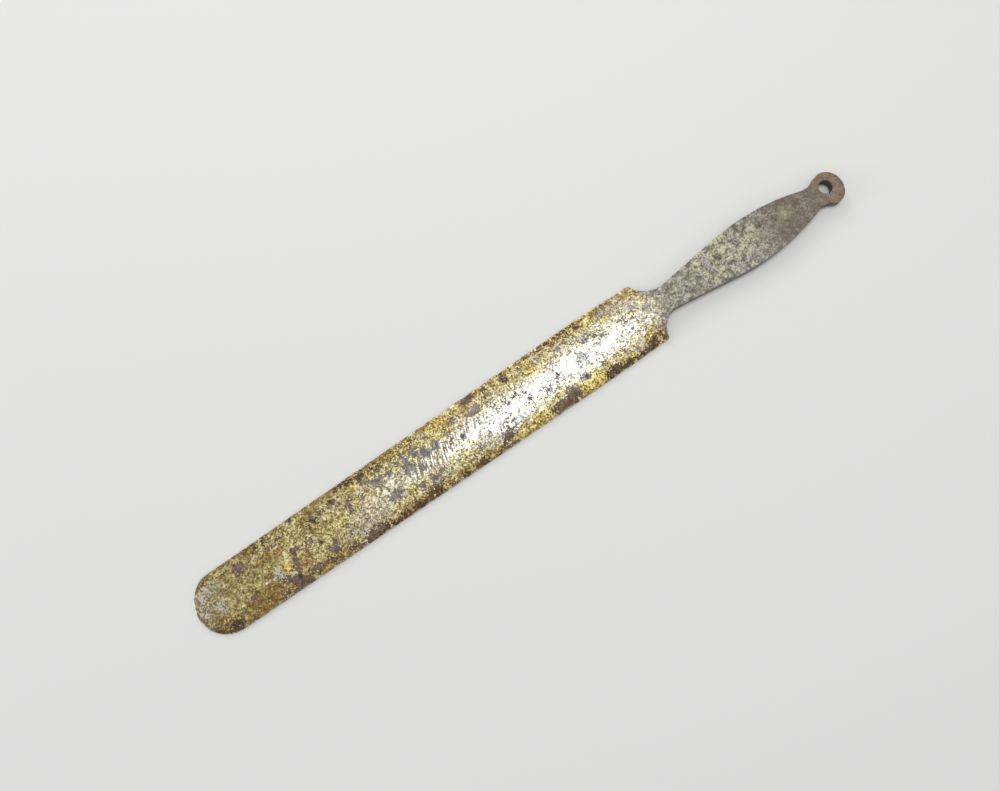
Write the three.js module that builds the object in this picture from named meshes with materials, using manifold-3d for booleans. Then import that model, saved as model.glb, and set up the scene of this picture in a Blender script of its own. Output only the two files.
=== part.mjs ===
// A mixing paddle for mortar: one steel forging with a crowned blade, a flat handle and a hanging eye.
// Millimetres, +Z up. The tip is at the -X end, the eye at the +X end, and the flat underside at z = 0.
import * as THREE from "three";
import { mergeVertices } from "three/addons/utils/BufferGeometryUtils.js";
import Module from "manifold-3d";

const wasm = await Module();
wasm.setup();

// Driving dimensions. Each station is a distance along the length, from the blade's tip.
const OVERALL_LENGTH = 356;

const BLADE_LENGTH = 242; // to the points of the two shoulders
const TIP_LENGTH = 13; // the tip is half an ellipse this long
const TIP_WIDTH = 28.9; // where the rounded tip ends and the sides begin
const BLADE_WIDTH = 32.4; // the widest place, a little before the shoulders
const WIDEST_STATION = 208;
const SHOULDER_WIDTH = 31.8; // the sides draw in a little on their way to the shoulders
const SHOULDER_ROUND = 1; // worn corner of each shoulder

const EDGE_THICKNESS = 1;
const CREST_THICKNESS = 3.5; // along the middle of the blade
const TIP_CREST_THICKNESS = 2.1; // the crown thins out towards the tip
const THINNING_LENGTH = 110;

const NECK_WIDTH = 12.9;
const NECK_STATION = 252.5;
const GRIP_WIDTH = 23.2;
const GRIP_STATION = 302;
const GRIP_SIDE_RADIUS = 120;
const HANDLE_THICKNESS = 4.76; // 3/16 inch bar
const ROOT_START = BLADE_LENGTH - 7; // the handle's full thickness fades into the blade's crown
const ROOT_END = NECK_STATION + 3;

const EYE_WIDTH = 16.8;
const EYE_END_LENGTH = 7.5; // from the eye's widest place to its end, which is worn a little flat
const WAIST_FILLET_RADIUS = 9;
const HOLE_DIAMETER = 6.8;
const HOLE_STATION = 347.7;
const HOLE_OFF_CENTRE = 0.9; // the hole was punched a little to the +Y side

const CURVE_STEPS = 14; // straight pieces in each curve of the outline
const HOLE_STEPS = 32;
const TOP_STEPS_ALONG = 86;
const TOP_STEPS_ACROSS = 12;
const CUT_MARGIN = 1; // how far a cutting solid runs past what it cuts
const BLOCK_WIDTH = BLADE_WIDTH + 2 * CUT_MARGIN;

const smooth = THREE.MathUtils.smoothstep;
const mix = THREE.MathUtils.lerp;

// Booleans ----------------------------------------------------------------------------------------

function toSolid(geometry) {
  const bare = geometry.clone();
  bare.deleteAttribute("normal");
  bare.deleteAttribute("uv");
  const merged = mergeVertices(bare, 1e-4);
  return new wasm.Manifold(
    new wasm.Mesh({
      numProp: 3,
      vertProperties: merged.attributes.position.array,
      triVerts: new Uint32Array(merged.index.array),
    }),
  );
}

function toGeometry(solid) {
  const mesh = solid.getMesh();
  const geometry = new THREE.BufferGeometry();
  geometry.setAttribute("position", new THREE.BufferAttribute(mesh.vertProperties, 3));
  geometry.setIndex(new THREE.BufferAttribute(mesh.triVerts, 1));
  geometry.computeVertexNormals();
  return geometry;
}

// Outline, seen from above ------------------------------------------------------------------------

const angleTo = (from, to) => Math.atan2(to.y - from.y, to.x - from.x);

// The point that lies at distance ra from a and rb from b, on the left of the way from a to b.
function pointAtDistances(a, ra, b, rb) {
  const apart = a.distanceTo(b);
  const along = (ra ** 2 - rb ** 2 + apart ** 2) / (2 * apart);
  const aside = Math.sqrt(ra ** 2 - along ** 2);
  const direction = b.clone().sub(a).normalize();
  const left = new THREE.Vector2(-direction.y, direction.x);
  return a.clone().addScaledVector(direction, along).addScaledVector(left, aside);
}

// One side of the paddle, from the tip round to the end of the eye. Arcs and lines run into each other
// smoothly, except at the shoulder's point.
function halfOutline() {
  const shoulder = new THREE.Vector2(BLADE_LENGTH, SHOULDER_WIDTH / 2 - SHOULDER_ROUND);
  const coveDepth = shoulder.y - NECK_WIDTH / 2;
  const coveRadius = ((NECK_STATION - shoulder.x) ** 2 + coveDepth ** 2) / (2 * coveDepth);
  const cove = new THREE.Vector2(NECK_STATION, NECK_WIDTH / 2 + coveRadius);
  const grip = new THREE.Vector2(GRIP_STATION, GRIP_WIDTH / 2 - GRIP_SIDE_RADIUS);
  const eye = new THREE.Vector2(OVERALL_LENGTH - EYE_END_LENGTH, 0);
  const waist = pointAtDistances(
    grip,
    GRIP_SIDE_RADIUS + WAIST_FILLET_RADIUS,
    eye,
    EYE_WIDTH / 2 + WAIST_FILLET_RADIUS,
  );
  // The straight flare of the neck touches the cove below its centre and the grip's side above its centre.
  const flare = angleTo(cove, grip) + Math.asin((coveRadius + GRIP_SIDE_RADIUS) / cove.distanceTo(grip));

  const half = new THREE.Path();
  half.moveTo(0, 0);
  half.absellipse(TIP_LENGTH, 0, TIP_LENGTH, TIP_WIDTH / 2, Math.PI, Math.PI / 2, true);
  half.lineTo(WIDEST_STATION, BLADE_WIDTH / 2);
  const drawIn = new THREE.Vector2((WIDEST_STATION + BLADE_LENGTH) / 2, BLADE_WIDTH / 2);
  half.quadraticCurveTo(drawIn.x, drawIn.y, BLADE_LENGTH - SHOULDER_ROUND, SHOULDER_WIDTH / 2);
  half.quadraticCurveTo(BLADE_LENGTH, SHOULDER_WIDTH / 2, shoulder.x, shoulder.y);
  half.absarc(cove.x, cove.y, coveRadius, angleTo(cove, shoulder), flare - Math.PI / 2, false);
  half.absarc(grip.x, grip.y, GRIP_SIDE_RADIUS, flare + Math.PI / 2, angleTo(grip, waist), true);
  half.absarc(waist.x, waist.y, WAIST_FILLET_RADIUS, angleTo(waist, grip), angleTo(waist, eye), false);
  half.absarc(eye.x, eye.y, EYE_WIDTH / 2, angleTo(eye, waist), Math.PI / 2, true);
  half.absellipse(eye.x, eye.y, EYE_END_LENGTH, EYE_WIDTH / 2, Math.PI / 2, 0, true);
  return half.getPoints(CURVE_STEPS);
}

function planOutline() {
  const upper = halfOutline();
  const lower = upper.slice(1, -1).reverse();
  return new THREE.Shape([...upper, ...lower.map((p) => new THREE.Vector2(p.x, -p.y))]);
}

// Top surface -------------------------------------------------------------------------------------

// Height of the blade's crowned top: highest along the middle, down to the edge thickness all round.
function bladeHeight(station, y) {
  const halfWidth = mix(TIP_WIDTH, BLADE_WIDTH, station / WIDEST_STATION) / 2;
  const intoTip = Math.max(0, 1 - station / TIP_LENGTH);
  const outward = Math.min(1, Math.hypot(intoTip, y / halfWidth));
  const crest = mix(TIP_CREST_THICKNESS, CREST_THICKNESS, smooth(station, 0, THINNING_LENGTH));
  return mix(crest, EDGE_THICKNESS, outward ** 2);
}

function topHeight(station, y) {
  const root = smooth(station, ROOT_START, ROOT_END);
  return mix(bladeHeight(station, y), HANDLE_THICKNESS, root);
}

// A block that holds the blade and the root of the handle. Its top face follows the top surface.
function bladeBlock() {
  const length = ROOT_END + CUT_MARGIN;
  const block = new THREE.BoxGeometry(length, BLOCK_WIDTH, 1, TOP_STEPS_ALONG, TOP_STEPS_ACROSS, 1);
  block.translate(ROOT_END - length / 2, 0, 0);
  const position = block.attributes.position;
  for (let i = 0; i < position.count; i++) {
    const isTop = position.getZ(i) > 0;
    position.setZ(i, isTop ? topHeight(position.getX(i), position.getY(i)) : -CUT_MARGIN);
  }
  return toSolid(block);
}

// The rest of the handle and the eye are flat on top.
function handleBlock() {
  const length = OVERALL_LENGTH + CUT_MARGIN - ROOT_END;
  const height = HANDLE_THICKNESS + CUT_MARGIN;
  const block = new THREE.BoxGeometry(length, BLOCK_WIDTH, height);
  block.translate(ROOT_END + length / 2, 0, height / 2 - CUT_MARGIN);
  return toSolid(block);
}

// The forging -------------------------------------------------------------------------------------

function hangingHole() {
  const depth = HANDLE_THICKNESS + 2 * CUT_MARGIN;
  const hole = new THREE.CylinderGeometry(HOLE_DIAMETER / 2, HOLE_DIAMETER / 2, depth, HOLE_STEPS);
  hole.rotateX(Math.PI / 2);
  hole.translate(HOLE_STATION, HOLE_OFF_CENTRE, HANDLE_THICKNESS / 2);
  return toSolid(hole);
}

function forging() {
  const depth = HANDLE_THICKNESS + CUT_MARGIN;
  const plan = new THREE.ExtrudeGeometry(planOutline(), { depth, bevelEnabled: false });
  const underTop = bladeBlock().add(handleBlock());
  const geometry = toGeometry(toSolid(plan).intersect(underTop).subtract(hangingHole()));
  return geometry.translate(-OVERALL_LENGTH / 2, 0, 0); // the origin is under the middle of the length
}

const agedSteel = new THREE.MeshStandardMaterial({ color: 0x9b8f66, roughness: 0.5, metalness: 0.75 });

const paddle = new THREE.Mesh(forging(), agedSteel);
paddle.name = "paddle";

const group = new THREE.Group();
group.name = "mortar_mixing_paddle";
group.add(paddle);

export default group;
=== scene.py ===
"""Looks of a mixing paddle for mortar: one bare steel forging with an old, speckled patina.

Shapes are worked out in millimetres, as (station, y, z): a station is a distance from the blade's tip along
the length, and z = 0 is the flat underside. They become metres, in the CAD frame, when the mesh is made.
"""
import math

import bpy
import numpy as np
from mathutils import Matrix, Vector
from mathutils.geometry import delaunay_2d_cdt


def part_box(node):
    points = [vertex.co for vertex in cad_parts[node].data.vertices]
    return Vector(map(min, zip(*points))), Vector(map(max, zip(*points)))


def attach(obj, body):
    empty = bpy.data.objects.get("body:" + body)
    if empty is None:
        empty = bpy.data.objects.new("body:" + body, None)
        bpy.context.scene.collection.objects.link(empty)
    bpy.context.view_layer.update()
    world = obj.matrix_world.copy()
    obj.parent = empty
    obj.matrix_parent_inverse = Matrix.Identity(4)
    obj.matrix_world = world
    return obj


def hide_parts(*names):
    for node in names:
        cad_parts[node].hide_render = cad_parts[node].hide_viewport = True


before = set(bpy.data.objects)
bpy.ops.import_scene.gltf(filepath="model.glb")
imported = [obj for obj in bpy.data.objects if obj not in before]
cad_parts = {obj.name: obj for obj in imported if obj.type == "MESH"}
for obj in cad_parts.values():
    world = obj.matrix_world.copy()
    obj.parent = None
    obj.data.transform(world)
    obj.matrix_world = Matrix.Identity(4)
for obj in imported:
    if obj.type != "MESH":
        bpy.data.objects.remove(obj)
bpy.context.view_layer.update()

MM = 0.001
low_corner, high_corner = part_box("paddle")
LENGTH = (high_corner.x - low_corner.x) / MM
WIDTH = (high_corner.y - low_corner.y) / MM
THICKNESS = (high_corner.z - low_corner.z) / MM  # of the handle; the blade is thinner
ORIGIN_STATION = -low_corner.x / MM

# The forging, in mm -------------------------------------------------------------------------------
BLADE_LENGTH = 242
WIDEST_STATION = 208
TIP_WIDTH = 28.9
EDGE_THICKNESS = 1
CREST_THICKNESS = 3.5
TIP_CREST_THICKNESS = 2.1
THINNING_LENGTH = 110
NECK_WIDTH = 12.9
NECK_STATION = 252.5
GRIP_SIDE_RADIUS = 120
ROOT_START = 235
ROOT_END = 255.5
EYE_FADE = (342, 348)  # stations between which the outline's dents nearly fade out
EYE_END_OFF_CENTRE = 0.3
HOLE_DIAMETER = 6.8
HOLE_OFF_CENTRE = 0.85
HOLE_TO_END = 8.55
HOLE_UNEVENNESS = 0.05

# Wear has made the two sides a little different. Side +1 is at +Y, and side -1 at -Y.
APEX_OFF_CENTRE = 0.8
TIP_LENGTH = {1: 12.2, -1: 14.2}
SHOULDER_STATION = {1: 241.3, -1: 242.0}
SHOULDER_HALF_WIDTH = {1: 15.6, -1: 15.9}
SHOULDER_ROUND = {1: 1.3, -1: 0.7}
GRIP_HALF_WIDTH = {1: 11.5, -1: 11.9}
GRIP_STATION = {1: 301.1, -1: 302.9}
WAIST_FILLET_RADIUS = {1: 15, -1: 8.6}
EYE_STATION = {1: 348.5, -1: 348.8}  # the eye's widest place
EYE_HALF_WIDTH = {1: 8.15, -1: 8.65}
EYE_RADIUS = {1: 5.6, -1: 5.8}  # on the waist's side of the widest place

BLADE_EDGE_RADIUS = 0.42  # worn round, above and below
HANDLE_EDGE_RADIUS = 0.5
HOLE_EDGE_RADIUS = 0.55
WALL_START = 1.05  # the top of a wall is at least this many edge radii up

# Unevenness from forging and wear, as shares of the handle's outline's and the handle's face's.
BLADE_OUTLINE_SHARE = 0.35
EYE_OUTLINE_SHARE = 0.1
BLADE_FACE_SHARE = 0.55
UNDERSIDE_SHARE = 0.5  # of the top's

OUTLINE_STEP = 0.55  # spacing of the mesh, in mm
TOP_STEP = 0.6
UNDERSIDE_STEP = 1.1
ROW_STEP = 0.866  # from row to row, in steps, so that the triangles have equal sides
RING_GAP = 0.55  # least distance from a ring to the grid of points, in steps
CURVE_POINTS = 24
QUARTER_POINTS = 60
HOLE_POINTS = 64
ROUNDING_STEPS = 5
WALL_STEPS = 4
MEASURED_AT_ONCE = 2000  # points
INSIDE_ONLY = 1  # the triangulation keeps only what lies inside the rings
SAME_POINT = 1e-6


# Small tools --------------------------------------------------------------------------------------
NOISE_GRID = (512, 64)
NOISE_START = 20  # where on the grid the origin lies, both ways


def smooth(start, end, value):
    """0 before start, 1 after end, and a smooth rise between."""
    t = np.clip((value - start) / (end - start), 0, 1)
    return t * t * (3 - 2 * t)


def mix(a, b, share):
    return a + (b - a) * share


def lumps(x, y, size, seed):
    """Smooth seeded noise from -1 to 1 over the plan, with lumps about size mm across."""
    grid = np.random.default_rng(seed).uniform(-1, 1, NOISE_GRID)
    u, v = np.asarray(x) / size + NOISE_START, np.asarray(y) / size + NOISE_START
    i, j = np.floor(u).astype(int), np.floor(v).astype(int)
    fu, fv = smooth(0, 1, u - i), smooth(0, 1, v - j)

    def corner(di, dj):
        return grid[(i + di) % NOISE_GRID[0], (j + dj) % NOISE_GRID[1]]

    near = mix(corner(0, 0), corner(1, 0), fu)
    far = mix(corner(0, 1), corner(1, 1), fu)
    return mix(near, far, fv)


def swell(x, y, size, seed, depth):
    """A smooth waviness, depth deep on average and at least 0."""
    return depth * (1 + lumps(x, y, size, seed))


def dents(x, y, size, seed, start, depth):
    """Dents up to depth deep, only where the noise is above start."""
    return depth * np.clip(lumps(x, y, size, seed) - start, 0, 1) / (1 - start)


# Outline, seen from above -------------------------------------------------------------------------

def angle_to(start, end):
    return math.atan2(end[1] - start[1], end[0] - start[0])


def arc(centre, radius, start, end):
    count = max(4, int(abs(end - start) * radius / OUTLINE_STEP) + 1)
    angles = np.linspace(start, end, count)
    return np.column_stack((centre[0] + radius * np.cos(angles), centre[1] + radius * np.sin(angles)))


def quadratic(start, control, end):
    t = np.linspace(0, 1, CURVE_POINTS)[:, None]
    return (1 - t) ** 2 * np.array(start) + 2 * t * (1 - t) * np.array(control) + t**2 * np.array(end)


def point_at_distances(a, from_a, b, from_b):
    """The point at distance from_a from a and from_b from b, on the left of the way from a to b."""
    a, b = np.array(a), np.array(b)
    apart = np.linalg.norm(b - a)
    along = (from_a**2 - from_b**2 + apart**2) / (2 * apart)
    aside = math.sqrt(from_a**2 - along**2)
    ahead = (b - a) / apart
    return a + ahead * along + np.array((-ahead[1], ahead[0])) * aside


def side_outline(side):
    """One side's outline, from the tip's apex to the end of the eye, as if it were the +Y side."""
    round_off = SHOULDER_ROUND[side]
    half_width = SHOULDER_HALF_WIDTH[side]
    shoulder = (SHOULDER_STATION[side], half_width - round_off)
    cove_depth = shoulder[1] - NECK_WIDTH / 2
    cove_radius = ((NECK_STATION - shoulder[0]) ** 2 + cove_depth**2) / (2 * cove_depth)
    cove = (NECK_STATION, NECK_WIDTH / 2 + cove_radius)
    grip = (GRIP_STATION[side], GRIP_HALF_WIDTH[side] - GRIP_SIDE_RADIUS)
    fillet = WAIST_FILLET_RADIUS[side]
    eye_radius = EYE_RADIUS[side]
    eye = (EYE_STATION[side], EYE_HALF_WIDTH[side] - eye_radius)
    waist = point_at_distances(grip, GRIP_SIDE_RADIUS + fillet, eye, eye_radius + fillet)
    flare = angle_to(cove, grip) + math.asin((cove_radius + GRIP_SIDE_RADIUS) / math.dist(cove, grip))
    apex = side * APEX_OFF_CENTRE
    end = side * EYE_END_OFF_CENTRE
    turn = np.linspace(0, math.pi / 2, QUARTER_POINTS)
    tip = np.column_stack(
        (TIP_LENGTH[side] * (1 - np.cos(turn)), apex + (TIP_WIDTH / 2 - apex) * np.sin(turn))
    )
    eye_end = np.column_stack(
        (eye[0] + (LENGTH - eye[0]) * np.sin(turn), end + (EYE_HALF_WIDTH[side] - end) * np.cos(turn))
    )
    widest = (WIDEST_STATION, WIDTH / 2)
    draw_in = ((WIDEST_STATION + BLADE_LENGTH) / 2, WIDTH / 2)
    before_point = (shoulder[0] - round_off, half_width)
    parts = [
        tip,
        np.array([widest]),
        quadratic(widest, draw_in, before_point),
        quadratic(before_point, (shoulder[0], half_width), shoulder),
        arc(cove, cove_radius, angle_to(cove, shoulder), flare - math.pi / 2),
        arc(grip, GRIP_SIDE_RADIUS, flare + math.pi / 2, angle_to(grip, waist)),
        arc(waist, fillet, angle_to(waist, grip), angle_to(waist, eye)),
        arc(eye, eye_radius, angle_to(eye, waist), math.pi / 2),
        eye_end,
    ]
    return np.concatenate(parts)


def even_steps(loop, step):
    """A closed line's points, placed again at even steps along it."""
    closed = np.vstack((loop, loop[:1]))
    reach = np.concatenate(([0], np.cumsum(np.linalg.norm(np.diff(closed, axis=0), axis=1))))
    count = int(round(reach[-1] / step))
    places = np.arange(count) * reach[-1] / count
    return np.column_stack([np.interp(places, reach, closed[:, axis]) for axis in (0, 1)])


def inward(loop):
    """Unit vectors that point into the metal from each point of a loop with the metal on its left."""
    along = np.roll(loop, -1, axis=0) - np.roll(loop, 1, axis=0)
    along /= np.linalg.norm(along, axis=1)[:, None]
    return np.column_stack((-along[:, 1], along[:, 0]))


def nicked(loop):
    """The outline with the small dents and waves that forging and use leave in it."""
    x, y = loop[:, 0], loop[:, 1]
    waves = swell(x, y, size=17, seed=1, depth=0.1) + swell(x, y, size=5, seed=2, depth=0.04)
    nicks = dents(x, y, size=2.6, seed=3, start=0.62, depth=0.12)
    depth = waves * mix(BLADE_OUTLINE_SHARE, 1, on_handle(x)) + nicks
    at_eye = smooth(*EYE_FADE, x)
    return loop + inward(loop) * (depth * mix(1, EYE_OUTLINE_SHARE, at_eye))[:, None]


def paddle_outline():
    upper = side_outline(1)
    lower = side_outline(-1) * (1, -1)
    return nicked(even_steps(np.vstack((lower[:-1], upper[:0:-1])), OUTLINE_STEP))


def hole_outline():
    angles = -np.arange(HOLE_POINTS) * 2 * math.pi / HOLE_POINTS  # clockwise, with the metal on the left
    radius = HOLE_DIAMETER / 2 + HOLE_UNEVENNESS * np.sin(3 * angles + 1)
    centre = (LENGTH - HOLE_TO_END, HOLE_OFF_CENTRE)
    return np.column_stack((centre[0] + radius * np.cos(angles), centre[1] + radius * np.sin(angles)))


# Heights ------------------------------------------------------------------------------------------

def on_handle(x):
    return smooth(ROOT_START, ROOT_END, x)


def ideal_height(x, y):
    """The crowned top of the blade, blended into the handle's flat top."""
    half_width = mix(TIP_WIDTH, WIDTH, x / WIDEST_STATION) / 2
    into_tip = np.maximum(0, 1 - x / TIP_LENGTH[-1])
    outward = np.minimum(1, np.hypot(into_tip, y / half_width))
    crest = mix(TIP_CREST_THICKNESS, CREST_THICKNESS, smooth(0, THINNING_LENGTH, x))
    blade = mix(crest, EDGE_THICKNESS, outward**2)
    return mix(blade, THICKNESS, on_handle(x))


def unevenness(x, y, seed):
    """How far below the ideal face the forged and rusted face lies."""
    waves = swell(x, y, size=21, seed=seed, depth=0.05) + swell(x, y, size=7, seed=seed + 1, depth=0.025)
    pits = dents(x, y, size=2.2, seed=seed + 2, start=0.35, depth=0.07)
    grain = swell(x, y, size=1.3, seed=seed + 3, depth=0.012)
    return waves * mix(BLADE_FACE_SHARE, 1, on_handle(x)) + pits + grain


def pit_depth(x, y):
    depth = np.zeros(len(x))
    for station, middle, radius, deepest in PITS:
        depth += deepest * np.exp(-((x - station) ** 2 + (y - middle) ** 2) / radius**2)
    return depth


def top_height(x, y):
    return ideal_height(x, y) - unevenness(x, y, seed=10) - pit_depth(x, y)


def underside_height(x, y):
    return UNDERSIDE_SHARE * unevenness(x, y, seed=30)


def edge_radius(x):
    return mix(BLADE_EDGE_RADIUS, HANDLE_EDGE_RADIUS, on_handle(x))


def fall(distance, radius):
    """How far a rounded edge lies below the face, at a distance in from the outline."""
    return radius - np.sqrt(np.maximum(0, radius**2 - np.maximum(0, radius - distance) ** 2))


# Mesh ---------------------------------------------------------------------------------------------

def inside(points, loop):
    """Which points lie inside a closed loop."""
    x, y = points[:, 0], points[:, 1]
    result = np.zeros(len(points), bool)
    for (x0, y0), (x1, y1) in zip(loop, np.roll(loop, -1, axis=0)):
        if y0 == y1:
            continue
        crosses = (y0 > y) != (y1 > y)
        result ^= crosses & (x < x0 + (y - y0) * (x1 - x0) / (y1 - y0))
    return result


def clearance(points, loop):
    """Each point's distance from the nearest point of a loop."""
    nearest = np.full(len(points), np.inf)
    for start in range(0, len(points), MEASURED_AT_ONCE):
        part = points[start : start + MEASURED_AT_ONCE]
        gaps = np.hypot(part[:, None, 0] - loop[None, :, 0], part[:, None, 1] - loop[None, :, 1])
        nearest[start : start + MEASURED_AT_ONCE] = gaps.min(axis=1)
    return nearest


def inner_points(outer, hole, step):
    """A staggered grid of points between the outline's inner ring and the hole's."""
    rows = np.arange(-WIDTH / 2, WIDTH / 2, step * ROW_STEP)
    columns = np.arange(0, LENGTH, step)
    x, y = np.meshgrid(columns, rows)
    x = x + step / 2 * (np.arange(len(rows)) % 2)[:, None]
    points = np.column_stack((x.ravel(), y.ravel()))
    points = points[inside(points, outer) & ~inside(points, hole)]
    gap = step * RING_GAP
    return points[(clearance(points, outer) > gap) & (clearance(points, hole) > gap)]


class Surface:
    """Collects the vertices and faces of one closed mesh."""

    def __init__(self):
        self.vertices, self.faces = [], []

    def add(self, xy, z):
        start = sum(len(part) for part in self.vertices)
        self.vertices.append(np.column_stack((xy, z)))
        return np.arange(start, start + len(xy))

    def z(self, ids):
        return np.concatenate(self.vertices)[ids, 2]

    def band(self, first, second):
        """A strip of four-sided faces between two rings of as many vertices."""
        for a, b, c, d in zip(first, np.roll(first, -1), np.roll(second, -1), second):
            self.faces.append((int(a), int(b), int(c), int(d)))

    def face(self, rings, lines, points, heights, upward):
        """Fills the plan between the outline's ring and the hole's with triangles over a grid of points."""
        flat = np.vstack((*lines, points))
        edges, start = [], 0
        for line in lines:
            count = len(line)
            edges += [(start + i, start + (i + 1) % count) for i in range(count)]
            start += count
        found, _, triangles, origin, _, _ = delaunay_2d_cdt(
            [Vector(p) for p in flat], edges, [], INSIDE_ONLY, SAME_POINT
        )
        ids = np.concatenate((*rings, self.add(points, heights)))
        place = ids[[source[0] for source in origin]]
        triangles = np.array(triangles)
        centres = np.array(found)[triangles].mean(axis=1)
        triangles = place[triangles[~inside(centres, lines[1])]]
        if not upward:
            triangles = triangles[:, ::-1]
        self.faces += [tuple(corners) for corners in triangles.tolist()]


def rounded_edge(surface, loop, radius, top):
    """Bands in over an outline's rounded edge. Returns the outer ring, the inner ring and its line."""
    rings, directions = [], inward(loop)
    for step in range(ROUNDING_STEPS + 1):
        distance = radius * (1 - math.cos(step / ROUNDING_STEPS * math.pi / 2))
        line = loop + directions * np.reshape(distance, (-1, 1))
        drop = fall(distance, radius)
        if top:
            z = np.maximum(top_height(*line.T) - drop, radius * WALL_START)
        else:
            z = underside_height(*line.T) + drop
        rings.append(surface.add(line, z))
    for outer, inner in zip(rings, rings[1:]):
        surface.band(*((outer, inner) if top else (inner, outer)))
    return rings[0], rings[-1], line


def wall(surface, loop, lower, upper):
    """Bands straight up an outline, from its lower ring to its upper one."""
    low, high = surface.z(lower), surface.z(upper)
    last = lower
    for step in range(1, WALL_STEPS):
        ring = surface.add(loop, mix(low, high, step / WALL_STEPS))
        surface.band(last, ring)
        last = ring
    surface.band(last, upper)


def paddle_surface():
    surface = Surface()
    outline, hole = paddle_outline(), hole_outline()
    top_rims, under_rims = [], []
    for loop, radius in (
        (outline, edge_radius(outline[:, 0])),
        (hole, np.full(len(hole), HOLE_EDGE_RADIUS)),
    ):
        upper, *top_rim = rounded_edge(surface, loop, radius, top=True)
        lower, *under_rim = rounded_edge(surface, loop, radius, top=False)
        wall(surface, loop, lower, upper)
        top_rims.append(top_rim)
        under_rims.append(under_rim)
    for rims, step, height_at, upward in (
        (top_rims, TOP_STEP, top_height, True),
        (under_rims, UNDERSIDE_STEP, underside_height, False),
    ):
        rings, lines = zip(*rims)
        points = inner_points(*lines, step)
        surface.face(rings, lines, points, height_at(*points.T), upward)
    return surface


def forging_object(name):
    surface = paddle_surface()
    places = np.concatenate(surface.vertices)
    places = np.clip(places, (0, -WIDTH / 2, 0), (LENGTH, WIDTH / 2, THICKNESS))
    mesh = bpy.data.meshes.new(name)
    metres = (places - (ORIGIN_STATION, 0, 0)) * MM
    mesh.from_pydata([tuple(p) for p in metres.tolist()], [], surface.faces)
    mesh.polygons.foreach_set("use_smooth", [True] * len(mesh.polygons))
    mesh.update()
    piece = bpy.data.objects.new(name, mesh)
    store_patina(mesh, places)
    mesh.materials.append(aged_steel())
    bpy.context.scene.collection.objects.link(piece)
    return piece


# Patina -------------------------------------------------------------------------------------------
FIELD_REACH = 4.0  # mm, as far in or out as a patch's rim is known
TOP_SHARE = 0.45  # what lies above this share of the height has the top's patches
UNDERSIDE_SEED = 40  # what the underside adds to a patina's seed
DEEP_PIT = 0.12  # mm, a pit at least this deep is as dark as any

# Where the kinds of patina that aren't patches, and the painted sheen, highlight and shade, come in: from
# the first number, in mm, to the second.
TIP = (55, 30)  # stations
# the tip's bare bright rim, partly a painted highlight line, lies before these stations
TIP_RIM_HIGHLIGHT = (9, 5)
# painted sheen on the rust along the blade's crest comes in over these stations
CREST_SHEEN = (76, 96)
ROOT = (231, 243)
BROWNER = (298, 318)
EYE = (332, 348)
TIP_RIM_HIGHLIGHT_SIDE = (0, 3)  # the tip's rim is bare bright steel on the +Y side: wear, and a painted highlight line
# the rust's painted sheen reaches this far from the middle of the blade
CREST_SHEEN_SIDES = (13.5, 8)  # from the middle of the blade
CREST_SHEEN_AT_TIP = 0.3  # how much of it is left before its station
# The handle's side walls and the hole's wall get painted shade within these bounds.
WALL_DEPTH = (0.4, 1.4)  # below the top
WALL_RIM = (0.8, 0.3)  # from the outline or the hole

# The blade's yellow ends in a curve across the root, by these stations in the middle and at the sides.
YELLOW_END = 246.3
YELLOW_END_AT_SIDES = 242.6
YELLOW_CURVE = 0.07  # mm back from the end, for each square mm of y
YELLOW_FADE = (-1.6, 1.8)  # mm past the end

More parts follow.
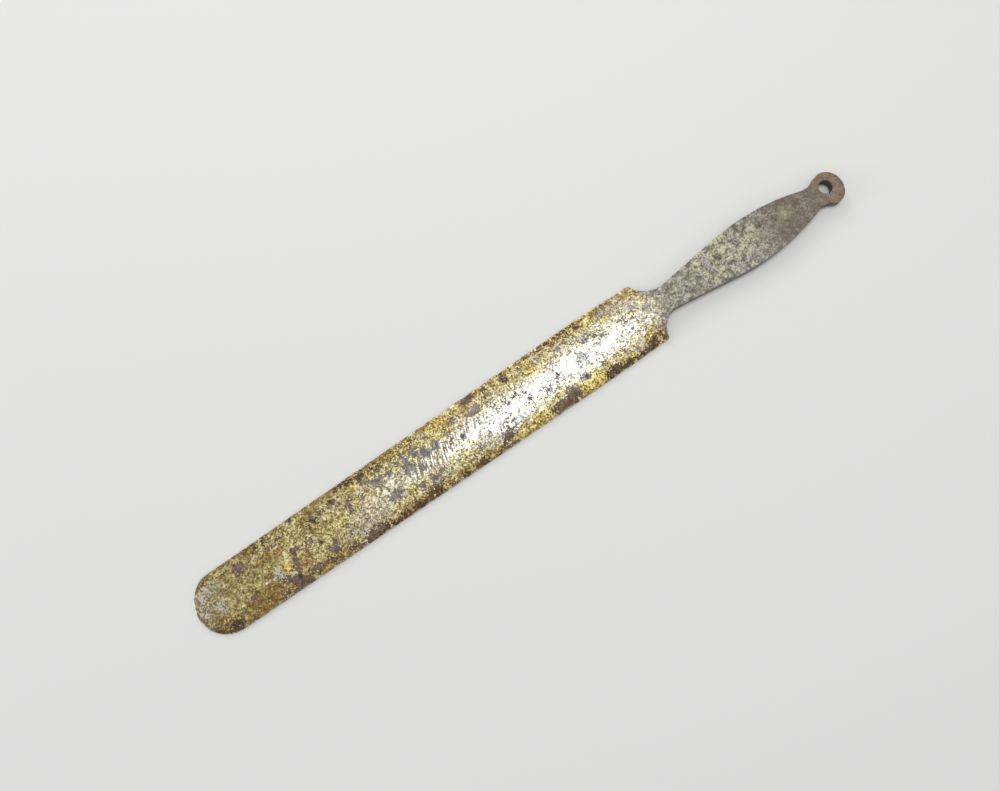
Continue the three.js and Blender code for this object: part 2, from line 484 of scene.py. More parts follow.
# Each patch is (station, y, half length, half width), in mm, on the top.
RUST_PATCHES = [
    (25.2, 7.8, 2.9, 2.9), (19, 10.8, 1, 0.9), (35, 10.8, 1.3, 1), (40, 8.8, 2.2, 1.3),
    (29.5, 5, 1.4, 0.9), (38.7, 12.7, 2, 1.1), (45, 9.3, 1.4, 1), (54, 13.6, 1, 1.2),
    (49.5, 0.9, 2.4, 2.3), (24.5, -5.8, 1.2, 0.9), (47, -4.5, 1.5, 3.4), (40.7, -7.6, 3, 1.8),
    (44, -11, 2.8, 3.2), (36.5, -12.6, 2.4, 1.5), (45, -13.8, 6.4, 2.8), (57, 1.1, 2.3, 1.2),
    (60.5, -2.6, 1.1, 1), (54, -11, 2.8, 2.1), (61, -12.2, 2.4, 1.7), (64.2, -8, 2.7, 2.8),
    (71.5, -12.8, 2.8, 1.6), (14.2, -10.8, 3.2, 2), (59.8, 6.2, 1.7, 1.1), (63, 7.2, 2.8, 1.5),
    (67.5, 8.8, 2.4, 1.1), (73, 9.6, 4.4, 1.6), (79.6, 3.2, 1.9, 3), (86, 4, 1.2, 1.5),
    (74.5, -3.8, 1.1, 1.4), (83, -13.2, 9.4, 2.7), (89.5, 10.5, 2.2, 4.4), (83, 13.8, 6, 1.2),
    (94, -14, 5, 1.6), (94.4, 6.4, 4, 2.6), (98.2, -4.4, 4.4, 2.7), (104.5, -14.2, 11, 2.5),
    (101.6, 5.6, 3.2, 1.7), (110.2, 5.6, 2.2, 5.2), (115, 7, 2.3, 2.9), (106.4, 7.2, 1.8, 1.4),
    (76, 6.8, 1.8, 1.2), (119.4, 4, 3.6, 2.6), (125, 4.1, 3, 2.2), (132.2, 4.7, 1.2, 1.6),
    (98.8, 11.6, 2.6, 1.9), (103.4, 9.6, 1.9, 1), (116.8, 12.4, 1.3, 1), (122.8, 10, 1.5, 1),
    (110.4, -6.6, 1.3, 2.8), (110.6, 0.8, 1, 1.6), (116.5, -1.4, 3.4, 1.6), (117.8, -8.6, 2.8, 1.9),
    (114.8, -12.4, 4.2, 2.4), (121.4, -7, 1.5, 1), (129.8, -7.2, 2.4, 1.1), (129, -14.8, 8, 1.1),
    (138, -14.7, 4.2, 1.9), (136.5, -10.4, 3, 0.8), (141.4, -8.2, 1.5, 1.1), (138.8, 9.7, 3, 1.6),
    (148.6, 13.2, 2.8, 2.3), (148.4, 7.8, 4, 2.2), (154.6, 8.9, 1.5, 0.8), (157.5, 12.6, 1.9, 1.3),
    (167, 2.6, 1.6, 0.8), (171, 1.2, 1.2, 0.7), (155.4, 6, 1.3, 1.2), (137.2, 0.7, 1.2, 1.6),
    (157.3, 2, 1.2, 1), (160.4, -6.6, 1.3, 1.1), (157.2, -9.2, 2.2, 1.5), (154.6, -11.4, 3.2, 2.2),
    (150.8, -14.2, 3.6, 1.8), (168, 12.6, 1.9, 2.6), (175.4, 11, 1.5, 1.3), (172, -2.3, 1.3, 0.9),
    (184.2, -13.8, 7, 3.2), (190, -12, 4, 4), (199.7, -8.9, 1.8, 1.4), (209.4, 12.6, 1.3, 1.4),
    (196.6, 10.3, 2.1, 1.5), (203.6, 11.8, 1.5, 1.2), (189, 15, 7, 1), (208.6, 6, 3, 0.9),
    (213.6, 4.6, 2.6, 1), (217.2, 3, 1.8, 1), (212.4, -14.2, 5.4, 2.6), (220, -15, 5.2, 1.7),
    (229, -15.4, 8, 1.6), (235.2, -13.2, 2.8, 2.3), (240.4, -14, 2, 2.2), (229, 3.4, 1.8, 0.9),
    # The patches at stations 1.4, 3.6, 6.4 and 10.6 on the -Y side darken the tip's rim: rust, and painted
    # shade of the rounded-off tip there.
    (232.6, 1.2, 1.5, 0.7), (1.4, -5, 1.3, 3.4), (3.6, -8.2, 2.5, 2.8), (6.4, -11.3, 2.9, 1.9),
    (10.6, -13.2, 4.4, 2), (7.4, 11.2, 2, 1.4), (200, 15.3, 6, 0.8), (163.6, 1.5, 1.3, 0.6),
    (188.4, -0.6, 0.6, 1.4), (181, -3.4, 1.4, 0.7),
]
# Where the rust is a warmer brown.
UMBER_PATCHES = [
    (88, 14, 28, 4), (104, -15.5, 22, 4.5), (134, -15.5, 12, 4), (168, 13, 4, 4), (194, 15.4, 12, 3),
    # The patch at station 8 darkens the tip's -Y rim: umber rust, and painted shade of the rounded-off tip
    # there.
    (218, -15.5, 16, 4.5), (60, 6, 5, 4), (40, 12, 6, 3), (61, -13, 6, 3), (8, -13, 9, 5),
    (226, 15.6, 12, 2), (236, -12.5, 5, 4.5), (30, 14, 12, 3),
]
# Brown-yellow stains, most of them along the blade's sides.
OCHRE_PATCHES = [
    (36, 13.4, 6, 1.3), (83, 13.8, 12, 2), (103, 14, 10, 2.2), (29.5, -9.3, 10, 4.8), (126, 14, 6, 1),
    (134, 8.6, 3.4, 1.5), (104, -13.8, 12, 2.4), (133, -13.4, 9, 1.9), (62, -12.5, 5, 2.4),
    (61, 4.5, 3, 1.8), (168, 12.8, 3, 3), (196, 13.8, 6, 2), (213, -14.6, 9, 2.2), (203, 14.8, 12, 1.2),
    (235.3, -12.4, 3.8, 4), (225, 14.8, 9, 1.2), (24, -14, 14, 2.6), (44, -12, 12, 3), (62, 10, 6, 2),
    # The patches at stations 10 and 9 darken the tip's -Y rim: ochre stain, and painted shade of the
    # rounded-off tip there.
    (38, 6, 6, 2.4), (10, -11.5, 6, 3), (146, 11, 3, 2), (51, -6, 4, 2), (9, -7.2, 7, 3.6),
    (36, -2, 3.6, 1.6), (238, -11, 4, 3), (71, 13.6, 5, 1.4), (237, 12.6, 3, 2),
]
# The deepest yellow.
GOLD_PATCHES = [
    (42.5, -3, 3, 2.6), (163.5, -14, 4.4, 3.6), (171, -13.8, 5.4, 4.2), (184.5, -8.4, 3, 1.5),
    (200.5, -12.8, 7.4, 4), (180, 10.5, 2.4, 3), (214, 12.8, 4, 2), (221.5, 8.8, 1.5, 1.6),
    (223, -12.6, 2, 1.6), (235.4, -9.8, 1.8, 1.6), (115, 11.5, 2.4, 1.4), (131, 11.6, 5, 2),
    (108, 11.6, 3, 1.5), (85.5, 10, 1.8, 1.4), (10.8, -7.4, 1.6, 1),
]
# Where the yellow is washed out; along the crest's band these patches are painted highlight.
PALE_AND_HIGHLIGHT_PATCHES = [
    (10.5, -1, 2.4, 4.4), (37.4, -4.3, 2.3, 1.6), (3, 3, 4, 8), (11, 8, 4, 3.4), (86, -4.5, 10, 5.5),
    (79, -9, 4, 2), (226, 9, 13, 6), (228, -8, 10, 5), (200, 7.4, 12, 2.6), (182, 11, 6, 2.6),
    (160, 6.6, 5, 2), (74, -7, 5, 2.2), (122, -8, 6, 2.2), (101, -0.5, 12, 5), (122, -0.5, 9, 5),
    (225, -8.5, 7, 2.4), (242.3, 2.4, 2.6, 1.6), (240, -1, 6, 7),
]
# Clusters of cream grains on the handle.
HANDLE_CREAM_PATCHES = [
    (272.5, 4.5, 3, 3), (277, 7.2, 6, 2.8), (284.5, 7, 9, 4.2), (284, 3.4, 2.2, 3),
    (274.4, -3.6, 2.4, 3.8), (280.6, 1, 2.2, 7), (286.6, 2.5, 1.9, 8), (291.5, -1, 2.2, 5),
    (297, -1.6, 2, 4), (301, 0.6, 2.4, 2.4), (292.5, -8.8, 2.4, 1.5), (281, -7, 1.6, 2.4),
    (297, 5.5, 2, 1.6),
]
# Fainter cream, on the handle and its root.
HANDLE_FAINT_PATCHES = [
    (314, 5.8, 2, 1.6), (323.5, 2, 4, 3.4), (333, -1, 1.6, 4), (306, -8.6, 3, 1.4), (304, 6, 5, 3.4),
    (249.5, 0.5, 2.6, 3), (258, 3, 4, 3), (263, -5.6, 4, 1.6), (267, 4, 1.6, 4), (253, -3, 3, 2),
    (304, 1, 5, 5), (309, -2, 2.5, 2.5),
]
# Where the yellow is rubbed away, down to cool grey steel.
GREY_PATCHES = [
    (242.2, 2.2, 3, 2), (216.6, 3.2, 3, 1.9), (209, 6.2, 4.4, 2), (203, 0, 2.6, 3.4),
    (196.6, 10.3, 2.6, 1.7), (157, 2, 2, 1.7), (110.2, 1.6, 1.7, 4), (235.6, 5.6, 3, 1.6),
    (181.6, -3.6, 2.4, 1.4), (199.4, -9, 2.6, 2), (213, 0.6, 1.6, 1.1), (37.6, -4.6, 2, 1.2),
    (229, 1.4, 2.6, 1.6),
]
CHALK_PATCHES = [
    (10.6, -1.6, 1.3, 3), (8.8, 2, 1, 1.6), (12, -4.4, 1, 1), (37.4, -5, 1.8, 0.8),
    (38.8, -2.6, 1.1, 1.5), (5, 6.5, 2, 3), (59.6, 0.3, 0.9, 0.9), (86.4, 6.2, 1.2, 0.7),
    (72.5, 7.2, 2.2, 0.8), (80, -9.6, 2, 0.8),
]
# Coarse grinding marks across the blade.
SCRATCHED_PATCHES = [(120, 0.5, 14, 6.4), (145, 1.8, 8, 2)]
# The crest of the crown, worn smooth and bright, and painted paler where the highlight falls along it:
# painted highlight.
WORN_AND_HIGHLIGHT_PATCHES = [(182, -1.2, 54, 6.4), (203, -2.8, 33, 5), (160, -4, 18, 6.6), (141, 1.2, 14, 4)]

# Deep pits: (station, y, radius, depth), in mm.
PITS = [
    (45.6, -9.8, 0.8, 0.35), (60.4, -2.6, 1.1, 0.2), (54, 13.4, 0.9, 0.25), (137.2, 0.6, 1.1, 0.15),
    (26.5, -4.6, 0.7, 0.15), (172.4, -2.4, 0.9, 0.15), (199.5, -9.2, 1.3, 0.2), (208.8, 13, 1, 0.2),
    (163.4, 1.6, 0.8, 0.12), (188.6, -0.6, 0.9, 0.12), (309, 3.5, 0.9, 0.12), (283.5, 1.2, 1, 0.2),
]


def ragged(value, x, y, size, seed, reach):
    """The value, moved to and fro by up to reach, in bends about size mm long."""
    return value + reach * lumps(x, y, size, seed)


def bent(value, x, y, seed):
    """A coordinate with coarse and fine bends, so that a patch's round rim becomes ragged."""
    coarse = ragged(value, x, y, size=3.1, seed=seed, reach=0.9)
    return ragged(coarse, x, y, size=1.4, seed=seed + 1, reach=0.4)


def patch_field(x, y, patches, seed):
    """How far, in mm, each point lies inside the nearest patch's ragged rim. It is negative outside."""
    x_bent = bent(x, x, y, seed)
    y_bent = bent(y, x, y, seed + 2)
    field = np.full(len(x), -FIELD_REACH)
    for station, middle, half_length, half_width in patches:
        reach = np.hypot((x_bent - station) / half_length, (y_bent - middle) / half_width)
        field = np.maximum(field, (1 - reach) * min(half_length, half_width))
    return np.minimum(field, FIELD_REACH)


def scattered_field(x, y, size, seed, cover):
    """Like patch_field, for a face whose patches lie anywhere."""
    rough = lumps(x, y, size, seed) + 0.5 * lumps(x, y, size / 2.3, seed + 1)
    return np.clip(3 * (rough - 1 + 1.4 * cover), -FIELD_REACH, FIELD_REACH)


def handle_share(x, y):
    """0 on the blade's yellow, 1 on the handle's grey."""
    wander = 1.5 * lumps(x, y, 3.1, 61) + 0.9 * lumps(x, y, 1.5, 62)
    border = np.maximum(YELLOW_END - YELLOW_CURVE * y**2, YELLOW_END_AT_SIDES) + wander
    return smooth(*YELLOW_FADE, x - border)


def store(mesh, name, values):
    attribute = mesh.attributes.new(name, "FLOAT", "POINT")
    attribute.data.foreach_set("value", np.asarray(values, np.float32))


def store_patina(mesh, places):
    """Writes where each kind of patina lies, for the material to read."""
    x, y, z = places.T
    top = z > TOP_SHARE * ideal_height(x, y)
    # The top's patches, then the underside's: their size in mm, their seed and how much they cover.
    fields = {
        "rust": (RUST_PATCHES, 6, 71, 0.42),
        "ochre": (OCHRE_PATCHES, 11, 75, 0.45),
        "gold": (GOLD_PATCHES, 9, 79, 0.22),
        "pale_and_highlight": (PALE_AND_HIGHLIGHT_PATCHES, 12, 83, 0.35),
        "cream": (HANDLE_CREAM_PATCHES, 5, 87, 0.3),
        "faint": (HANDLE_FAINT_PATCHES, 7, 93, 0.3),
        "umber": (UMBER_PATCHES, 14, 95, 0.3),
        "worn_and_painted_highlight": (WORN_AND_HIGHLIGHT_PATCHES, 20, 97, 0.1),
        "chalk": (CHALK_PATCHES, 5, 89, 0.1),
        "scratched": (SCRATCHED_PATCHES, 30, 91, 0.2),
        "grey": (GREY_PATCHES, 8, 103, 0.2),
    }
    for name, (patches, size, seed, cover) in fields.items():
        above = patch_field(x, y, patches, seed)
        below = scattered_field(x, y, size, seed + UNDERSIDE_SEED, cover)
        store(mesh, name, np.where(top, above, below))
    store(mesh, "handle", handle_share(x, y))
    store(mesh, "root", smooth(*ROOT, ragged(x, x, y, size=5, seed=69, reach=2)))
    store(mesh, "tip", smooth(*TIP, x))
    # the tip's +Y rim: worn bare steel, and a painted highlight line
    store(mesh, "tip_rim_highlight", smooth(*TIP_RIM_HIGHLIGHT, x) * smooth(*TIP_RIM_HIGHLIGHT_SIDE, y))
    # the rust's painted sheen along the blade's crest, less of it towards the tip
    from_middle = ragged(np.abs(y), x, y, size=5, seed=64, reach=1.5)
    store(mesh, "crest", smooth(*CREST_SHEEN_SIDES, from_middle) * mix(CREST_SHEEN_AT_TIP, 1, smooth(*CREST_SHEEN, x)))
    store(mesh, "browner", smooth(*BROWNER, ragged(x, x, y, size=6, seed=65, reach=5)))
    store(mesh, "pit", np.where(top, np.clip(pit_depth(x, y) / DEEP_PIT, 0, 1), 0))
    store(mesh, "eye", smooth(*EYE, ragged(x, x, y, size=5, seed=67, reach=2)))
    edge = clearance(places[:, :2], paddle_outline())
    store(mesh, "edge", edge)
    # Where the handle's side walls and the hole's wall get painted shade.
    rim = np.minimum(edge, clearance(places[:, :2], hole_outline()))
    below_top = ideal_height(x, y) - z
    store(mesh, "wall", on_handle(x) * smooth(*WALL_DEPTH, below_top) * smooth(*WALL_RIM, rim))


def srgb(red, green, blue):
    """A shader colour from the 0 to 255 values of a colour chart."""
    def linear(value):
        value /= 255
        return value / 12.92 if value <= 0.04045 else ((value + 0.055) / 1.055) ** 2.4
    return (linear(red), linear(green), linear(blue), 1)


class Nodes:
    """Short ways to write a material's nodes. Sizes are in mm."""

    def __init__(self, material):
        material.use_nodes = True
        self.tree = material.node_tree
        self.shader = self.tree.nodes["Principled BSDF"]
        place = self.new("TexCoord").outputs["Object"]
        self.place = self.scaled(place, (1 / MM, 1 / MM, 1 / MM))
        # Noise has a grid of its own, which doesn't show when it lies askew in the metal.
        self.askew = self.turned(self.place, (37, 24, 51))

    def new(self, kind, **settings):
        node = self.tree.nodes.new("ShaderNode" + kind)
        for name, value in settings.items():
            setattr(node, name, value)
        return node

    def feed(self, socket, value):
        if isinstance(value, bpy.types.NodeSocket):
            self.tree.links.new(value, socket)
        else:
            socket.default_value = value

    def scaled(self, vector, scale):
        node = self.new("VectorMath", operation="MULTIPLY")
        self.feed(node.inputs[0], vector)
        node.inputs[1].default_value = scale
        return node.outputs[0]

    def turned(self, vector, degrees):
        node = self.new("VectorRotate", rotation_type="EULER_XYZ")
        self.feed(node.inputs["Vector"], vector)
        node.inputs["Rotation"].default_value = [math.radians(angle) for angle in degrees]
        return node.outputs[0]

    def moved(self, vector, by):
        node = self.new("VectorMath")
        self.feed(node.inputs[0], vector)
        node.inputs[1].default_value = by
        return node.outputs[0]

    def attribute(self, name):
        return self.new("Attribute", attribute_name=name).outputs["Fac"]

    def noise(self, size, detail=2.0, roughness=0.5, vector=None, shift=0.0):
        """Noise around 0.5, with lumps about size mm across. Each shift reads another part of it."""
        node = self.new("TexNoise")
        place = self.askew if vector is None else vector
        self.feed(node.inputs["Vector"], self.moved(place, (shift, shift * 0.7, -shift)))
        node.inputs["Scale"].default_value = 1 / size
        node.inputs["Detail"].default_value = detail
        node.inputs["Roughness"].default_value = roughness
        return node.outputs["Fac"]

    def crumbs(self, size, shift=0.0):
        """A random number for each of the ragged crumbs, about size mm across, that fill the metal."""
        bend = self.new("TexNoise")
        self.feed(bend.inputs["Vector"], self.moved(self.askew, (shift, -shift, shift * 0.3)))
        bend.inputs["Scale"].default_value = 1.3 / size
        bent_place = self.new("VectorMath", operation="MULTIPLY_ADD")
        self.feed(bent_place.inputs[0], bend.outputs["Color"])
        bent_place.inputs[1].default_value = [1.6 * size] * 3
        self.feed(bent_place.inputs[2], self.moved(self.askew, (shift, shift, 0)))
        cells = self.new("TexVoronoi")
        self.feed(cells.inputs["Vector"], bent_place.outputs[0])
        cells.inputs["Scale"].default_value = 1 / size
        return cells.outputs["Color"]

    def math(self, operation, a, b):
        node = self.new("Math", operation=operation)
        self.feed(node.inputs[0], a)
        self.feed(node.inputs[1], b)
        return node.outputs[0]

    def add(self, a, b):
        return self.math("ADD", a, b)

    def times(self, a, b):
        return self.math("MULTIPLY", a, b)

    def most(self, a, b):
        return self.math("MAXIMUM", a, b)

    def inverse(self, a):
        return self.math("SUBTRACT", 1.0, a)

    def without(self, value, mask, share):
        """The value, less a share of it where the mask is 1."""
        return self.times(value, self.inverse(self.times(mask, share)))

    def swing(self, noise, width):
        """The noise, moved to lie around 0 and made width times as wide."""
        return self.times(self.add(noise, -0.5), width)

    def step(self, value, start, end):
        """0 before start, 1 after end, and a smooth rise between. It falls where end is below start."""
        node = self.new("MapRange", interpolation_type="SMOOTHSTEP")
        falls = end < start
        self.feed(node.inputs["Value"], value)
        node.inputs["From Min"].default_value = end if falls else start
        node.inputs["From Max"].default_value = start if falls else end
        node.inputs["To Min"].default_value = 1 if falls else 0
        node.inputs["To Max"].default_value = 0 if falls else 1
        return node.outputs["Result"]

    def blend(self, share, a, b):
        """From number a to number b as share goes from 0 to 1."""
        node = self.new("Mix")
        self.feed(node.inputs["Factor"], share)
        self.feed(node.inputs["A"], a)
        self.feed(node.inputs["B"], b)
        return node.outputs["Result"]

    def colour(self, share, a, b):
        """From colour a to colour b as share goes from 0 to 1."""
        node = self.new("Mix", data_type="RGBA")
        self.feed(node.inputs[0], share)
        self.feed(node.inputs[6], a)
        self.feed(node.inputs[7], b)
        return node.outputs[2]

    def palette(self, grain, colours):
        """A colour ramp over the grain, from its pits to its proudest grains."""
        node = self.new("ValToRGB")
        self.feed(node.inputs["Fac"], grain)
        stops = node.color_ramp.elements
        while len(stops) < len(colours):
            stops.new(0.5)
        for stop, position, colour in zip(stops, GRAIN_STOPS, colours):
            stop.position = position
            stop.color = srgb(*colour)
        return node.outputs["Color"]

    def laid_over(self, base, layers, grain=None):
        """Lays coats over a base colour. Each is (mask, share, colour), or a palette instead of a colour."""
        for mask, share, coat in layers:
            if isinstance(coat, list):
                coat = self.palette(grain, coat)
            base = self.colour(self.times(mask, share), base, coat)
        return base

    def bump(self, height, depth):
        node = self.new("Bump")
        node.inputs["Strength"].default_value = 1
        node.inputs["Distance"].default_value = depth * MM
        self.feed(node.inputs["Height"], height)
        return node.outputs["Normal"]


RAGGED = (3, 0.6)  # detail and roughness of noise whose lumps have ragged rims

# Palettes: the colours of each patina, from its pits to its proudest grains.
GRAIN_STOPS = (0.32, 0.42, 0.5, 0.58, 0.68)
CREAMS = [(94, 77, 44), (148, 131, 78), (189, 173, 112), (215, 203, 146), (232, 225, 182)]
OLIVES = [(74, 64, 38), (112, 98, 56), (140, 125, 74), (165, 152, 97), (190, 180, 127)]
OCHRES = [(66, 49, 27), (104, 80, 40), (138, 112, 58), (168, 145, 82), (194, 175, 116)]
GOLDS = [(92, 66, 22), (152, 124, 46), (196, 170, 78), (224, 206, 120), (242, 233, 172)]
# washed-out yellow, which along the crest also serves as painted highlight
PALES_AND_HIGHLIGHT = [(104, 94, 78), (142, 133, 113), (171, 163, 142), (195, 190, 172), (218, 216, 204)]
# worn steel, pale: also the painted highlight along the crest
WORN_STEEL_HIGHLIGHTS = [(100, 97, 92), (140, 139, 135), (176, 175, 171), (206, 206, 203), (232, 232, 230)]
COOL_GREYS = [(92, 91, 88), (122, 121, 118), (144, 143, 141), (164, 164, 162), (192, 192, 191)]
RUSTS = [(64, 47, 32), (80, 61, 43), (91, 70, 50), (102, 80, 59), (122, 100, 76)]
# rust with painted sheen: lighter and greyer, along the blade's crest
SHEENED_RUSTS = [(80, 71, 62), (102, 93, 84), (116, 107, 97), (130, 121, 111), (154, 146, 136)]
UMBERS = [(34, 21, 9), (54, 36, 16), (70, 48, 22), (88, 64, 32), (116, 90, 54)]
HANDLE_GREYS = [(80, 76, 68), (108, 104, 95), (128, 125, 115), (149, 147, 137), (178, 176, 166)]
HANDLE_BROWNS = [(78, 69, 58), (90, 81, 69), (99, 90, 77), (108, 100, 86), (122, 115, 100)]
HANDLE_CREAMS = [(96, 88, 68), (126, 120, 94), (149, 144, 117), (168, 164, 136), (188, 184, 160)]
EYE_BROWNS = [(86, 73, 59), (98, 85, 70), (107, 94, 79), (116, 104, 89), (128, 117, 102)]
EYE_OCHRES = [(88, 69, 49), (102, 81, 60), (112, 91, 69), (122, 101, 79), (134, 114, 92)]
BARE_STEEL = srgb(224, 223, 216)
SCRATCH_SHADE = srgb(96, 89, 84)
CHALK = srgb(198, 194, 182)
SOOT = srgb(44, 38, 30)
PAINTED_WALL_SHADE = srgb(56, 50, 43)  # painted shade: dark brown-black on the sides of the handle and in the hole, where they lie in shadow
SPECK = srgb(70, 56, 38)
SMUDGE = srgb(128, 126, 118)
ORANGE_STAIN = srgb(138, 96, 46)
UMBER_STAIN = srgb(104, 74, 44)
MAUVE_STAIN = srgb(136, 116, 102)

# Metal's sheen where it is dull and where it is polished.
METALLIC = (0.2, 0.85)
ROUGHNESS = (0.58, 0.34)
BUMP_DEPTH = 0.018  # mm, for a step of 1 in the relief
GRINDING_ANGLE = -71  # degrees; the marks run nearly across the blade


def patch_mask(n, name, wander, size, shift, fade):
    """1 inside an attribute's patches. Their rims wander by noise, and fade over so many mm each way."""
    bends = n.noise(size, *RAGGED, shift=shift)
    return n.step(n.add(n.attribute(name), n.swing(bends, wander)), -fade, fade)


def grinding(n):
    """Noise drawn out along the strokes of a coarse grinding that runs across the blade."""
    along = n.scaled(n.turned(n.place, (0, 0, GRINDING_ANGLE)), (0.1, 1, 1))
    return n.noise(0.72, vector=along, shift=19)


def steel_grain(n, medium):
    """The metal's grain at every size: 0.5 is the ground, less is a pit, and more stands proud."""
    coarse = n.noise(9, shift=57)
    grain = n.swing(n.noise(0.8, *RAGGED), 1.05)
    for noise, width in ((n.crumbs(0.9, 13), 0.3), (medium, 0.4), (coarse, 0.2)):
        grain = n.add(grain, n.swing(noise, width))
    return n.add(grain, 0.5)


def blade_colour(n, grain, worn_and_painted_highlight, ochre, grey):
    """The blade's yellow patina, with its stains, specks and worn places, and a painted highlight along the
    crest.
    """
    gold = patch_mask(n, "gold", wander=6, size=1.6, shift=37, fade=0.9)
    # a paler fringe around the crest: painted highlight
    crest_highlight_fringe = patch_mask(n, "worn_and_painted_highlight", wander=9, size=2.2, shift=65, fade=4)
    # washed-out yellow, together with the crest's painted highlight fringe
    pale_and_highlight = n.most(patch_mask(n, "pale_and_highlight", wander=9, size=2.2, shift=43, fade=1.8), crest_highlight_fringe)
    chalk = patch_mask(n, "chalk", wander=5, size=0.9, shift=59, fade=0.6)
    dull = n.add(n.noise(3.4, shift=5), n.times(n.attribute("tip"), 0.14))
    dull = n.add(dull, n.times(n.attribute("root"), 0.06))
    stained = n.add(n.noise(1.5, *RAGGED, shift=7), n.times(ochre, 0.07))
    stained = n.add(stained, n.times(n.attribute("tip"), 0.03))
    smudges = n.step(n.noise(2.5, detail=4, roughness=0.65, shift=15), 0.51, 0.62)
    colour = n.laid_over(n.palette(grain, CREAMS), [
        (n.step(dull, 0.5, 0.64), 0.8, OLIVES),
        (pale_and_highlight, 0.75, PALES_AND_HIGHLIGHT),
        (ochre, 0.85, OCHRES),
        (n.step(stained, 0.57, 0.69), 0.6, ORANGE_STAIN),
        (n.step(n.noise(1.9, detail=3, roughness=0.65, shift=101), 0.57, 0.67), 0.55, MAUVE_STAIN),
        (gold, 0.75, GOLDS),
        # worn steel along the crest, painted paler there as painted highlight, broken by grey smudges
        (worn_and_painted_highlight, 0.7, WORN_STEEL_HIGHLIGHTS),
        (n.times(smudges, worn_and_painted_highlight), 0.8, SMUDGE),
        (grey, 0.7, COOL_GREYS),
    ], grain)
    # fewer dark specks under the crest's painted highlight
    specks = n.step(n.noise(0.75, shift=9), 0.38, 0.32)
    colour = n.colour(n.without(specks, worn_and_painted_highlight, 0.55), colour, SPECK)
    return n.colour(n.times(chalk, n.times(n.step(grain, 0.4, 0.5), 0.75)), colour, CHALK)


def handle_colour(n, grain, medium, edge):
    """The handle's dull grey and brown, with cream grains in clusters, and the browner eye."""
    across = n.scaled(n.place, (1, 0.45, 1))
    clusters = n.noise(1.5, *RAGGED, vector=across, shift=53)
    cream = n.step(n.add(n.attribute("cream"), n.swing(clusters, 10)), -0.5, 0.7)
    cream = n.times(cream, n.step(grain, 0.4, 0.48))
    faint = patch_mask(n, "faint", wander=8, size=1.4, shift=67, fade=2.2)
    brown = n.most(n.attribute("browner"), n.times(n.step(medium, 0.5, 0.58), 0.8))
    ground = n.colour(brown, n.palette(grain, HANDLE_GREYS), n.palette(grain, HANDLE_BROWNS))
    grip = n.laid_over(ground, [(cream, 0.9, HANDLE_CREAMS), (faint, 0.4, HANDLE_CREAMS)], grain)
    eye = n.colour(n.step(edge, 3.5, 0.5), n.palette(grain, EYE_BROWNS), n.palette(grain, EYE_OCHRES))
    return n.colour(n.attribute("eye"), grip, eye)


def rust_colour(n, grain):
    """Rust scale: lighter and greyer along the blade's crest as painted sheen, and a warmer brown where it
    is umber.
    """
    colour = n.colour(n.attribute("crest"), n.palette(grain, RUSTS), n.palette(grain, SHEENED_RUSTS))
    umber = patch_mask(n, "umber", wander=8, size=3, shift=73, fade=1.2)
    colour = n.colour(umber, colour, n.palette(grain, UMBERS))
    stains = n.step(n.noise(1.3, *RAGGED, shift=77), 0.54, 0.66)
    return n.colour(n.times(n.times(stains, umber), 0.6), colour, UMBER_STAIN)


def rust_mask(n, grain, handle):
    """Rust is eaten into at its rims, and a few bright grains stand out of it. The handle has none."""
    bitten = n.swing(n.noise(1.2, detail=4, roughness=0.68, shift=11), 6)
    proud_grains = n.swing(grain, -4.5)
    rust = n.step(n.add(n.attribute("rust"), n.add(bitten, proud_grains)), -0.22, 0.22)
    proud = n.step(n.noise(0.6, *RAGGED, shift=71), 0.61, 0.67)
    return n.times(n.without(rust, proud, 0.3), n.inverse(handle))


def ochre_mask(n, medium, edge):
    """Ochre patches, and a stain along the blade's edge that leaves out the tip's bright rim."""
    edge_stain = n.step(n.add(edge, n.swing(medium, 9)), 2.6, 0.9)
    edge_stain = n.times(edge_stain, n.inverse(n.attribute("tip_rim_highlight")))
    patches = patch_mask(n, "ochre", wander=9, size=2.2, shift=23, fade=1.3)
    return n.most(patches, n.times(edge_stain, 0.85))


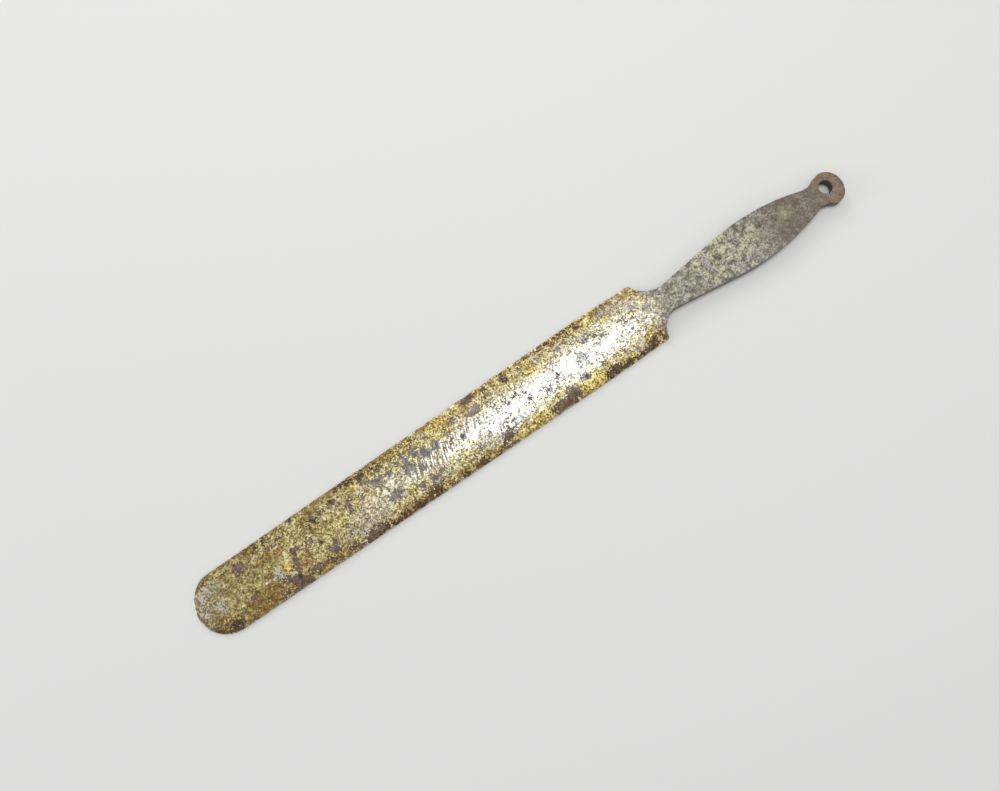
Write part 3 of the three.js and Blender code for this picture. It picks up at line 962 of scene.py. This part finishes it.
def aged_steel():
    material = bpy.data.materials.new("aged_steel_patina")
    n = Nodes(material)
    handle = n.attribute("handle")
    edge = n.attribute("edge")
    medium = n.noise(2.4, detail=2, roughness=0.6, shift=31)
    grain = steel_grain(n, medium)
    worn_and_painted_highlight = patch_mask(n, "worn_and_painted_highlight", wander=14, size=1.8, shift=63, fade=2.4)
    grey = patch_mask(n, "grey", wander=6, size=1.2, shift=105, fade=0.9)
    rust = rust_mask(n, grain, handle)

    blade_grain = n.add(grain, n.times(worn_and_painted_highlight, 0.02))
    blade = blade_colour(n, blade_grain, worn_and_painted_highlight, ochre_mask(n, medium, edge), grey)
    mottled = n.swing(n.noise(3.1, *RAGGED, shift=27), n.blend(n.attribute("browner"), 0.9, 0.5))
    handle_grain = n.add(n.blend(0.25, grain, 0.5), mottled)
    base = n.colour(handle, blade, handle_colour(n, handle_grain, medium, edge))
    base = n.colour(rust, base, rust_colour(n, n.blend(0.12, grain, 0.5)))

    strokes = grinding(n)
    scratched = patch_mask(n, "scratched", wander=9, size=3, shift=47, fade=1.8)
    bright_strokes = n.times(scratched, n.step(strokes, 0.58, 0.65))
    dark_strokes = n.times(scratched, n.step(strokes, 0.51, 0.45))
    # worn bare steel along the blade's edges, and on the tip's +Y rim also a painted highlight line
    rubbed_and_tip_highlight = n.most(n.step(medium, 0.46, 0.54), n.attribute("tip_rim_highlight"))
    worn_rim_and_tip_highlight = n.without(n.times(n.step(edge, 0.5, 0.2), rubbed_and_tip_highlight), handle, 0.7)
    base = n.laid_over(base, [
        (n.attribute("pit"), 0.85, SOOT),
        # painted shade on the handle's side walls and in the hole
        (n.attribute("wall"), 0.7, PAINTED_WALL_SHADE),
        (bright_strokes, 0.3, BARE_STEEL),
        (dark_strokes, 0.75, SCRATCH_SHADE),
        (worn_rim_and_tip_highlight, 0.45, BARE_STEEL),
    ])
    n.feed(n.shader.inputs["Base Color"], base)

    # Pits, rust, the root and the handle are dull. What stands proud on the blade is polished by use.
    bright = n.step(blade_grain, 0.34, 0.43)
    for dull, share in (
        (rust, 0.9), (handle, 0.75), (n.attribute("root"), 0.8), (dark_strokes, 0.8), (grey, 0.5),
    ):
        bright = n.without(bright, dull, share)
    bright = n.most(bright, n.most(worn_rim_and_tip_highlight, n.times(bright_strokes, 0.7)))
    n.feed(n.shader.inputs["Metallic"], n.blend(bright, *METALLIC))
    n.feed(n.shader.inputs["Roughness"], n.blend(bright, *ROUGHNESS))

    relief = n.add(n.times(grain, 2.6), n.times(n.noise(0.3, shift=83), 0.5))
    relief = n.add(relief, n.times(rust, -0.6))
    relief = n.add(relief, n.times(strokes, n.times(scratched, 2.0)))
    n.feed(n.shader.inputs["Normal"], n.bump(relief, BUMP_DEPTH))
    return material


# Stage --------------------------------------------------------------------------------------------
# In metres, in the frame.

CAMERA_PLACE = (-0.0562, -0.0511, 0.3395)
CAMERA_RIGHT = (0.82083, -0.57117, 0)
CAMERA_UP = (0.55918, 0.80360, 0.20381)
FOCAL_LENGTH = 27.36  # mm, on a sensor 36 mm wide
SENSOR_WIDTH = 36
NEAREST_SEEN = 0.01

# (name, place, target, width, height, power in W)
LIGHTS = [
    ("softbox", (0.285, 0.14, 1.2), (0.285, 0.14, 0.0), 0.5, 0.44, 6),
    ("side_light", (0.2, 1.0, 0.5), (0.0, 0.0, 0.0), 0.5, 0.4, 3),
    ("rim_light", (-1.1, 0.5, 0.3), (-0.17, 0.0, 0.0), 0.3, 0.3, 4),
]
WORLD_STRENGTH = 0.72
WHITE = (1, 1, 1, 1)

FLOOR_REACH = 3
FLOOR_HEIGHT = -0.0001  # just below the underside
FLOOR_COLOUR = (0.6, 0.6, 0.585, 1)
FLOOR_ROUGHNESS = 0.8


def add_camera():
    """Above the tip half of the blade, tilted a little towards the eye's end."""
    data = bpy.data.cameras.new("camera")
    data.lens = FOCAL_LENGTH
    data.sensor_width = SENSOR_WIDTH
    data.clip_start = NEAREST_SEEN
    camera = bpy.data.objects.new("camera", data)
    right, up = Vector(CAMERA_RIGHT), Vector(CAMERA_UP)
    rotation = Matrix((right, up, right.cross(up))).transposed()
    camera.matrix_world = Matrix.Translation(CAMERA_PLACE) @ rotation.to_4x4()
    bpy.context.scene.collection.objects.link(camera)
    bpy.context.scene.camera = camera


def add_area_light(name, place, target, width, height, power):
    data = bpy.data.lights.new(name, "AREA")
    data.shape = "RECTANGLE"
    data.size = width
    data.size_y = height
    data.energy = power
    light = bpy.data.objects.new(name, data)
    light.location = place
    light.rotation_euler = (Vector(target) - Vector(place)).to_track_quat("-Z", "Y").to_euler()
    bpy.context.scene.collection.objects.link(light)


def add_floor():
    mesh = bpy.data.meshes.new("floor")
    corners = [(x * FLOOR_REACH, y * FLOOR_REACH, 0) for x, y in ((-1, -1), (1, -1), (1, 1), (-1, 1))]
    mesh.from_pydata(corners, [], [(0, 1, 2, 3)])
    floor = bpy.data.objects.new("floor", mesh)
    floor.location.z = FLOOR_HEIGHT
    material = bpy.data.materials.new("pale_floor")
    material.use_nodes = True
    shader = material.node_tree.nodes["Principled BSDF"]
    shader.inputs["Base Color"].default_value = FLOOR_COLOUR
    shader.inputs["Roughness"].default_value = FLOOR_ROUGHNESS
    mesh.materials.append(material)
    bpy.context.scene.collection.objects.link(floor)


def add_world():
    world = bpy.data.worlds.new("studio")
    world.use_nodes = True
    background = world.node_tree.nodes["Background"]
    background.inputs["Color"].default_value = WHITE
    background.inputs["Strength"].default_value = WORLD_STRENGTH
    bpy.context.scene.world = world


# Build --------------------------------------------------------------------------------------------

paddle = forging_object("paddle_forging")
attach(paddle, "root")
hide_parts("paddle")

add_camera()
add_world()
for light in LIGHTS:
    add_area_light(*light)
add_floor()
bpy.context.scene.view_settings.view_transform = "Standard"
